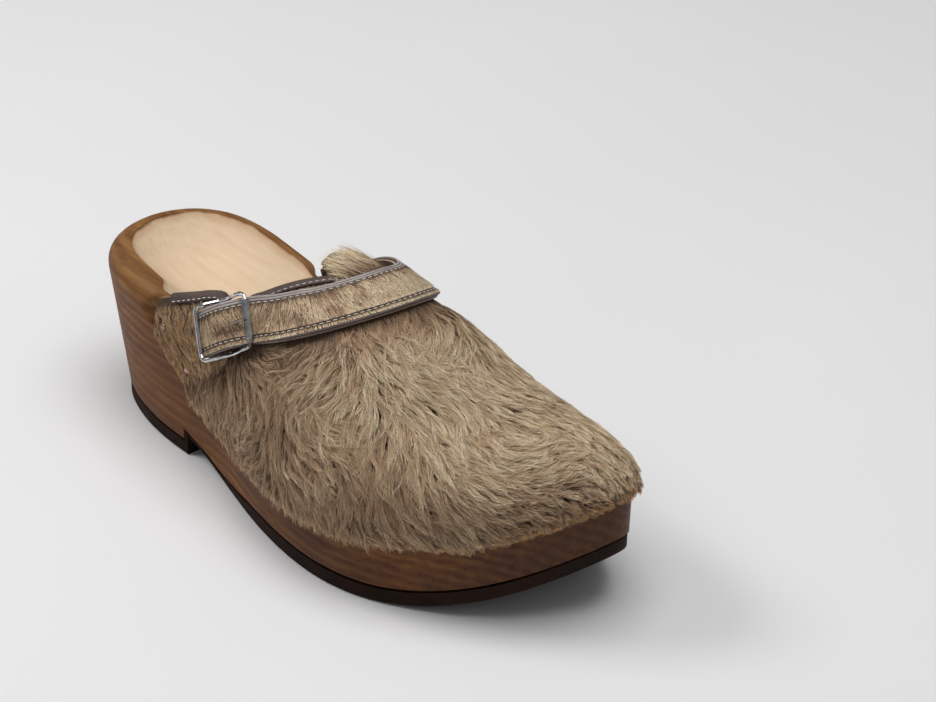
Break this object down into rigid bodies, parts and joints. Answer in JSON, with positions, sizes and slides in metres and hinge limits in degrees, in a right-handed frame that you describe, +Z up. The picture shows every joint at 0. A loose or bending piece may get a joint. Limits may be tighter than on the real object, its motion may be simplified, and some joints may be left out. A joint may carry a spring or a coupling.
{
  "type": "wooden clog",
  "caption": "Heeled wooden clog for the right foot with a long-haired hide upper nailed to a carved sole, a rubber outsole and a buckled instep strap.",
  "frame": {"origin": "on the ground below the centre of the bounding box", "axes": "+Z up, -Y towards the toe, +Y towards the heel, -X towards the outer side where the buckle is, +X towards the inner side"},
  "size_m": [0.1138, 0.2836, 0.1063],
  "materials": {
    "clog_wood": "stained and waxed brown on the outside, bare pale wood in the footbed",
    "outsole_rubber": "matt dark brown moulded rubber",
    "fur_hide": "long wavy grey-brown hair on hide",
    "lining_leather": "matt pinkish-beige lining leather",
    "binding_leather": "folded dark brown leather edge with pale stitching",
    "strap_hide": "short brown hair on hide, stitched along both edges",
    "strap_lining_leather": "smooth grey-brown leather",
    "chape_leather": "smooth dark brown leather",
    "buckle_chrome": "polished, slightly worn chrome",
    "rivet_steel": "dull antique steel",
    "nail_steel": "dull antique steel"
  },
  "bodies": {
    "clog": {"wooden_sole": "clog_wood", "rubber_outsole": "outsole_rubber", "hide_upper": "fur_hide", "leather_lining": "lining_leather", "outer_tab_binding": "binding_leather", "inner_tab_binding": "binding_leather", "tongue_binding": "binding_leather", "instep_strap": "strap_hide", "strap_lining": "strap_lining_leather", "chape": "chape_leather", "chape_rivet": "rivet_steel", "strap_rivet": "rivet_steel", "nail_01": "nail_steel", "nail_02": "nail_steel", "nail_03": "nail_steel", "nail_04": "nail_steel", "nail_05": "nail_steel", "nail_06": "nail_steel", "nail_07": "nail_steel", "nail_08": "nail_steel", "nail_09": "nail_steel", "nail_10": "nail_steel", "nail_11": "nail_steel", "nail_12": "nail_steel", "nail_13": "nail_steel", "nail_14": "nail_steel", "nail_15": "nail_steel", "nail_16": "nail_steel", "nail_17": "nail_steel", "nail_18": "nail_steel", "nail_19": "nail_steel", "nail_20": "nail_steel", "nail_21": "nail_steel", "nail_22": "nail_steel", "nail_23": "nail_steel", "nail_24": "nail_steel", "nail_25": "nail_steel", "nail_26": "nail_steel", "nail_27": "nail_steel", "nail_28": "nail_steel", "nail_29": "nail_steel", "nail_30": "nail_steel", "nail_31": "nail_steel"},
    "buckle": {"buckle_frame": "buckle_chrome"},
    "prong": {"buckle_prong": "buckle_chrome"},
    "roller": {"buckle_roller": "buckle_chrome"}
  },
  "joints": [
    {"name": "buckle_swing", "type": "hinge", "parent": "clog", "child": "buckle", "pos_m": [-0.03654, 0.03744, 0.07947], "axis": [0.324, 0.603, 0.7289], "range_deg": [-1.5, 1.5]},
    {"name": "prong_swing", "type": "hinge", "parent": "buckle", "child": "prong", "pos_m": [-0.03654, 0.03744, 0.07947], "axis": [0.324, 0.603, 0.7289], "range_deg": [-8, 0]},
    {"name": "roller_spin", "type": "hinge", "parent": "buckle", "child": "roller", "pos_m": [-0.03504, 0.02569, 0.08852], "axis": [0.324, 0.603, 0.7289], "continuous": true}
  ]
}
